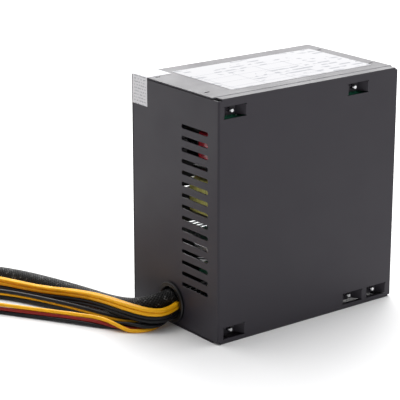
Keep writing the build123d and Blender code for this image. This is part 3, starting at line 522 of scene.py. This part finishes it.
MAIN_ROUTE = metres([
    (-68.8, 4.5, 17), (-80.5, 4.5, 15.2), (-88.5, 16.5, 10.4), (-90.5, 39.5, 6.3), (-94.5, 65, 5.6),
    (-102, 91.5, 5.6), (-111.5, 119, 5.6), (-126, 142, 5.6), (-152, 152, 5.8), (-200, 149.4, 6.7),
    (-256, 150.4, 6.7), (-312.4, 150, 6.5), (-337, 125.4, 5.6), (-337, 90.6, 5.6), (-312.4, 66, 5.6),
    (-285, 60, 5.6), (-266, 53, 5.6),
])
PROCESSOR_ROUTE = metres([
    (-68.8, -2.3, 11.4), (-78, -5, 9.2), (-89.5, -2.3, 9.5), (-97, 11.5, 11), (-99, 37, 9.5),
    (-103, 60.5, 6.7), (-113, 84.5, 4.1), (-122.5, 109, 3.8), (-133, 131.5, 4), (-153, 141, 4),
    (-178, 140.5, 4.3), (-236, 139.3, 4.6), (-308.2, 139.9, 4.4), (-326.9, 121.2, 3.5),
    (-326.9, 94.8, 3.5), (-308.2, 76.1, 3.5), (-272, 75, 3.5), (-236, 76.2, 3.5), (-208, 76.5, 3.5),
])
SATA_ROUTE = metres([
    (-68.8, 8.6, 9.4), (-76.5, 8.2, 6.1), (-85.5, 8, 3.7), (-94, 12.5, 2.85), (-101, 26, 2.7),
    (-106, 43, 2.85), (-112, 61, 2.85), (-119, 79, 2.85), (-127.5, 97, 2.85), (-139, 114, 2.85),
    (-156, 127, 2.85), (-182, 132.5, 3.6), (-214, 133, 3.95), (-246, 133, 3.95), (-305.2, 132.7, 3.8),
    (-319.7, 118.2, 2.85), (-319.7, 97.8, 2.85), (-305.2, 83.3, 2.85), (-272, 84.5, 2.85),
    (-232, 91, 2.85),
])
DRIVE_ROUTE = metres([
    (-68.8, 3.4, 7.2), (-76.5, 1.5, 4.2), (-84.5, -1.2, 3.1), (-92.5, 0.2, 3), (-99.5, 9.8, 2.9),
    (-107.5, 22.5, 2.7), (-116, 37, 2.7), (-125.5, 52, 2.7), (-135.5, 67, 2.7), (-146, 83, 2.7),
    (-158, 100, 2.7), (-175, 115.5, 2.7), (-202, 125, 3.8), (-250, 126.4, 3.8), (-302.5, 126, 3.7),
    (-313, 115.5, 2.7), (-313, 100.5, 2.7), (-302.5, 90, 2.7), (-286, 91.5, 2.7), (-274, 99, 2.7),
    (-266, 101.5, 2.7),
])


def centreline(route, step=0.0025):
    """Even points along the smooth NURBS line whose control points are the route's."""
    curve = bpy.data.curves.new("route", "CURVE")
    curve.dimensions = "3D"
    curve.resolution_u = 24
    spline = curve.splines.new("NURBS")
    spline.points.add(len(route) - 1)
    for point, place in zip(spline.points, route):
        point.co = (*place, 1.0)
    spline.order_u = 3
    spline.use_endpoint_u = True
    helper = bpy.data.objects.new("route", curve)
    scene.collection.objects.link(helper)
    bpy.context.view_layer.update()
    mesh = bpy.data.meshes.new_from_object(helper)
    points = [tuple(v.co) for v in mesh.vertices]
    bpy.data.objects.remove(helper)
    bpy.data.curves.remove(curve)
    bpy.data.meshes.remove(mesh)
    return resampled(points, step)


def lay_wires(harness, line, wires, twist, ends, seed):
    """Wires side by side along a line. Each wire is (to the left, up, colour), as it lies in the bundle;
    the bundle turns by twist(distance) degrees. The wires are gathered tight where they leave the casing,
    none goes below the floor, and at the far end they fan out to the places in ends."""
    gather, spread = 0.03, 0.018
    _, left, up = frames(line)
    along = distances(line)
    random = np.random.default_rng(seed)
    turn = np.array([radians(twist(s)) for s in along])
    fan = smooth_step((along - (along[-1] - spread)) / spread)
    loose = 0.8 + 0.2 * smooth_step(along / gather)
    for (across, above, colour), end in zip(wires, ends):
        wander = 0.09 * np.sin(along * random.uniform(40, 80) + random.uniform(0, 6)) + turn
        x = loose * (across * np.cos(wander) - above * np.sin(wander))
        z = loose * (across * np.sin(wander) + above * np.cos(wander))
        x, z = x * (1 - fan) + end[0] * fan, z * (1 - fan) + end[1] * fan
        path = line + x[:, None] * left + z[:, None] * up
        path[:, 2] = np.maximum(path[:, 2], WIRE_R)
        harness.add(path, WIRE_R, WIRE[colour])


def ring_of(out, colours, first):
    """Wires as distance out, angle and colour, spaced evenly round a circle."""
    return [(out, first + k * 360 / len(colours), colour) for k, colour in enumerate(colours)]


def grid_ends(columns, rows, pitch):
    """Places in a plug's grid, to the left and up from its middle."""
    return [((c - (columns - 1) / 2) * pitch, (r - (rows - 1) / 2) * pitch)
            for r in range(rows) for c in range(columns)]


def declare(piece, node):
    """Hide the CAD node that the cord stands in for."""
    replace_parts(piece, node)


def processor_cable():
    """Four yellow wires that ride on four black ones, two abreast."""
    line = centreline(PROCESSOR_ROUTE)
    wires = [(side, height, "yellow" if height > 0.001 else "black")
             for height in (0.0044, 0.0021, -0.0003, -0.0025) for side in (0.0012, -0.0011)]
    harness = Harness()
    lay_wires(harness, line, wires, lambda s: 9 * sin(22 * s), grid_ends(4, 2, 0.0032), seed=3)
    piece = harness.piece("processor_wires", "wire_insulation")
    declare(piece, "processor_cable")


def sata_cable():
    """Two black wires in front of a yellow, an orange and a red one."""
    line = centreline(SATA_ROUTE)
    wires = [(0.0009, 0.0027, "black"), (0.0013, -0.0012, "black"), (0.0002, 0.0007, "yellow"),
             (-0.0017, 0.0014, "orange"), (-0.0012, -0.0013, "red")]
    harness = Harness()
    lay_wires(harness, line, wires, lambda s: 14 * sin(30 * s), grid_ends(5, 1, 0.0021), seed=5)
    piece = harness.piece("sata_wires", "wire_insulation")
    declare(piece, "sata_cable")


def drive_cable():
    """A yellow wire on top, a red one in front and two black ones below. Near the casing they turn about
    each other, which takes the yellow wire down in front."""
    line = centreline(DRIVE_ROUTE)
    wires = [(0.0004, 0.0031, "yellow"), (0.0011, 0.0008, "red"), (0.0016, -0.0014, "black"),
             (-0.0011, -0.0010, "black")]
    harness = Harness()
    lay_wires(harness, line, wires, lambda s: 8 * sin(26 * s) - 225 * smooth_step((0.06 - s) / 0.05),
              grid_ends(4, 1, 0.0027), seed=8)
    piece = harness.piece("drive_wires", "wire_insulation")
    declare(piece, "drive_cable")


def main_cable():
    """The braided sleeve, whose crossing strands stand out from the tube."""
    line = centreline(MAIN_ROUTE, MAIN_STEP)
    sides = 60
    vertices, faces, uvs = tube_mesh(line, SLEEVE_R, sides)
    grid = np.asarray(vertices).reshape(len(line), sides, 3)
    along = distances(line)
    around = np.arange(sides) / sides * 2 * pi * STRANDS
    phase = along[:, None] * 2 * pi * STRAND_PITCH
    strands = np.maximum(np.sin(around[None, :] + phase), np.sin(around[None, :] - phase))
    swell = 1 + 0.012 * np.sin(along * 70)[:, None]
    grid = line[:, None, :] + (grid - line[:, None, :]) * (swell + 0.022 * strands)[:, :, None]
    piece = add_piece("main_sleeve", grid.reshape(-1, 3), faces, [braid()], uvs)
    extras = [main_fan_out(line), nodes["main_plug_20_pin"], nodes["main_plug_4_pin"]]
    declare(piece, "main_cable")


def main_fan_out(line):
    """The main cable's wires, which leave the end of the sleeve and spread to the wide plug, and the
    heat-shrink over the end of the sleeve."""
    forward, left, up = (vectors[-1] for vectors in frames(line))
    flat = np.array([forward[0], forward[1], 0.0])
    flat /= np.linalg.norm(flat)
    side = np.cross([0.0, 0.0, 1.0], flat)
    colours = ("orange yellow yellow violet grey black red black red black orange orange "
               "red red red white black black black green black blue orange yellow").split()
    harness = Harness()
    start, reach = line[-1], 0.0382  # from the end of the sleeve to the plug
    columns, pitch = 12, 0.0042  # of the plug's contacts
    inner, outer, tucked = 0.0022, 0.0038, 0.006  # places in the sleeve: out from its middle, and back in it
    for k, colour in enumerate(colours):
        column, row = k % columns, k // columns
        angle = radians(180 - 15 * column) if row else radians(180 + 15 * column)
        tight = outer if k % 2 else inner
        near = start - forward * tucked + side * tight * cos(angle) + up * tight * sin(angle)
        across, above = (column - (columns - 1) / 2) * pitch, (row - 0.5) * pitch
        far = start + flat * reach + side * across + np.array([0, 0, above])
        t = np.linspace(0, 1, 22)[:, None]
        path = ((1 - t) ** 3 * near + 3 * t * (1 - t) ** 2 * (near + forward * 0.02)
                + 3 * t**2 * (1 - t) * (far - flat * 0.018) + t**3 * far)
        harness.add(path, STRANDED_R, WIRE[colour], 8)
    harness.add(line[-SHRINK_STEPS:], SHRINK_R, moulded("heat_shrink", (0.012, 0.012, 0.013), 0.35), 32)
    piece = harness.piece("main_wires", "wire_insulation")
    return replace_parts(piece, "main_fan_out")


def internal_leads():
    """The wires between the board and the outlet."""
    route = metres([(-34, -35.1, 20), (-34, -16, 20), (-39, -3, 17), (-52, 3.2, 14.4), (-68.8, 3.2, 14)])
    line = centreline(route)
    outer = ["black"] * 7 + ["yellow", "red", "violet", "orange", "grey", "black", "black"]
    inner = ["black"] * 3 + ["blue", "red", "white"]
    wires = ring_of(0.0060, outer, 0) + ring_of(0.0036, inner, 20) + [(0.0, 0, "black")]
    harness = Harness()
    _, left, up = frames(line)
    twist = np.linspace(0, 1.2, len(line))
    for out, angle, colour in wires:
        a = radians(angle) + twist
        path = line + out * (np.sin(a)[:, None] * up - np.cos(a)[:, None] * left)
        harness.add(path, LEAD_R, WIRE[colour], 8)
    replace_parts(harness.piece("outlet_leads", "lead_insulation"), "internal_leads")


processor_cable()
sata_cable()
drive_cable()
main_cable()
internal_leads()


# ---- chokes -------------------------------------------------------------------------------------
def wound_ring(name, node, centre, radius, low, high, hole, wire, turns, copper):
    """A ring core with separate wire turns wrapped round its section. The centre is in x and z, low and
    high are in y, and the hole and the wire are radii."""
    harness = Harness()
    middle, half_wide = (radius + hole) / 2, (radius - hole) / 2
    level, half_high = (low + high) / 2, (high - low) / 2
    t = np.linspace(0, 2 * pi, 19)
    core = moulded(name + "_core", (0.55, 0.50, 0.16), 0.5)

    def placed(out, angle, height):
        """Points at a distance out and an angle round the ring's axis."""
        return np.stack([centre[0] + out * np.cos(angle), height, centre[1] + out * np.sin(angle)], 1)

    # a turn follows a rounded rectangle round the ring's section, and leans a little
    squareness, sunk, lean = 0.45, wire * 0.4, 0.05 * np.sin(t)
    out = middle + (half_wide - sunk) * np.sign(np.cos(t)) * np.abs(np.cos(t)) ** squareness
    height = level + (half_high - sunk) * np.sign(np.sin(t)) * np.abs(np.sin(t)) ** squareness
    for k in range(turns):
        harness.add(placed(out, 2 * pi * k / turns + lean, height), wire, copper, 6)
    ring = placed(middle, t, np.full_like(t, level))
    harness.add(np.concatenate([ring, ring[1:2]]), half_wide * 0.72, core, 12)
    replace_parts(harness.piece(name, "enamelled_wire"), node)


wound_ring("output_choke_turns", "output_choke", (0.004, 0.028), radius=0.0151, low=-0.0344, high=-0.0212,
           hole=0.0066, wire=0.00085, turns=30, copper=enamel("copper_enamel", (0.50, 0.17, 0.04)))
wound_ring("line_choke_turns", "line_choke", (0.050, 0.124), radius=0.0122, low=-0.0344, high=-0.0236,
           hole=0.0052, wire=0.0007, turns=28, copper=enamel("amber_enamel", (0.55, 0.22, 0.06)))


# ---- switch marks -------------------------------------------------------------------------------
def rocker_marks():
    """The usual on and off marks, printed on the rocker's two slopes."""
    paint = Paint("white_print", (0.75, 0.75, 0.74), 0.45)
    paint.tint(paint.noise(900, 3), 0.06)
    tilt, pivot = radians(-9.0), Vector((0.0682, -0.004, 0.074))
    middle_depth, end_rise, half_long, proud = 0.0023, 0.0011, 0.0077, 0.00006
    vertices, faces = [], []

    def put(along, across):
        """A point on the rocker's face, at a place along its length and across it."""
        depth = middle_depth + abs(along) / half_long * end_rise + proud
        x, z = depth * cos(tilt) + along * sin(tilt), -depth * sin(tilt) + along * cos(tilt)
        vertices.append((pivot.x + x, pivot.y + across, pivot.z + z))

    bar_low, bar_high, half_bar = 0.0028, 0.0056, 0.0003
    for along, side in ((bar_low, -1), (bar_low, 1), (bar_high, 1), (bar_high, -1)):
        put(along, side * half_bar)
    faces.append((0, 1, 2, 3))
    count, middle, outer, inner = 28, -0.0043, 0.0015, 0.0010  # the ring
    for k in range(count):
        angle = 2 * pi * k / count
        put(middle + outer * cos(angle), outer * sin(angle))
        put(middle + inner * cos(angle), inner * sin(angle))
    for k in range(count):
        a, b = 4 + 2 * k, 4 + 2 * ((k + 1) % count)
        faces.append((a, b, b + 1, a + 1))
    add_piece("rocker_marks", vertices, faces, [paint.material], body="rocker", smooth=False)


rocker_marks()


# ---- floor, light and camera --------------------------------------------------------------------
def area_light(name, place, target, size, power):
    """A rectangular light, in metres and watts, that no camera sees."""
    light = bpy.data.lights.new(name, "AREA")
    light.shape = "RECTANGLE"
    light.size, light.size_y = size
    light.energy = power
    lamp = bpy.data.objects.new(name, light)
    lamp.location = place
    lamp.rotation_euler = (Vector(target) - Vector(place)).to_track_quat("-Z", "Y").to_euler()
    lamp.visible_camera = False
    scene.collection.objects.link(lamp)


def studio():
    """A pale floor in a white room, with one soft panel above and one low behind the object."""
    mesh = bpy.data.meshes.new("floor")
    reach = 6.0
    mesh.from_pydata([(-reach, -reach, 0), (reach, -reach, 0), (reach, reach, 0), (-reach, reach, 0)], [],
                     [(0, 1, 2, 3)])
    paint = Paint("pale_floor", (0.90, 0.90, 0.905), 0.7)
    paint.tint(paint.noise(3, 3), 0.004)
    mesh.materials.append(paint.material)
    floor = bpy.data.objects.new("floor", mesh)
    scene.collection.objects.link(floor)
    world = bpy.data.worlds.new("studio")
    world.use_nodes = True
    tree = world.node_tree
    sky = tree.nodes["Background"]
    sky.inputs["Color"].default_value = (1, 1, 1, 1)
    # the room is dimmer towards the outlet and the closed wall (-X and -Y) than on the other two sides
    way = tree.nodes.new("ShaderNodeVectorMath")
    way.operation = "DOT_PRODUCT"
    way.inputs[1].default_value = (0.84, 0.50, 0.22)
    tree.links.new(tree.nodes.new("ShaderNodeTexCoord").outputs["Generated"], way.inputs[0])
    fade = tree.nodes.new("ShaderNodeMapRange")
    for name, value in (("From Min", -0.8), ("From Max", 0.5), ("To Min", 0.28), ("To Max", 0.9)):
        fade.inputs[name].default_value = value
    tree.links.new(way.outputs["Value"], fade.inputs["Value"])
    tree.links.new(fade.outputs["Result"], sky.inputs["Strength"])
    scene.world = world
    area_light("back_panel", (0.80, 1.05, 0.82), (0, 0, 0.1), (1.3, 0.6), 13.6)
    area_light("top_panel", (0.5, 0.6, 2.2), (0, 0.2, 0), (2.6, 2.2), 54)


def camera():
    """The photograph's viewing angle."""
    data = bpy.data.cameras.new("camera")
    data.sensor_width = 36.0
    data.lens = 146.6
    data.clip_end = 50.0
    eye, target = Vector((-0.62022, -0.75069, 0.37088)), Vector((-0.0322, 0.0244, 0.0668))
    view = bpy.data.objects.new("camera", data)
    view.location = eye
    view.rotation_euler = (target - eye).to_track_quat("-Z", "Y").to_euler()
    scene.collection.objects.link(view)
    scene.camera = view


studio()
camera()
scene.view_settings.view_transform = "Standard"
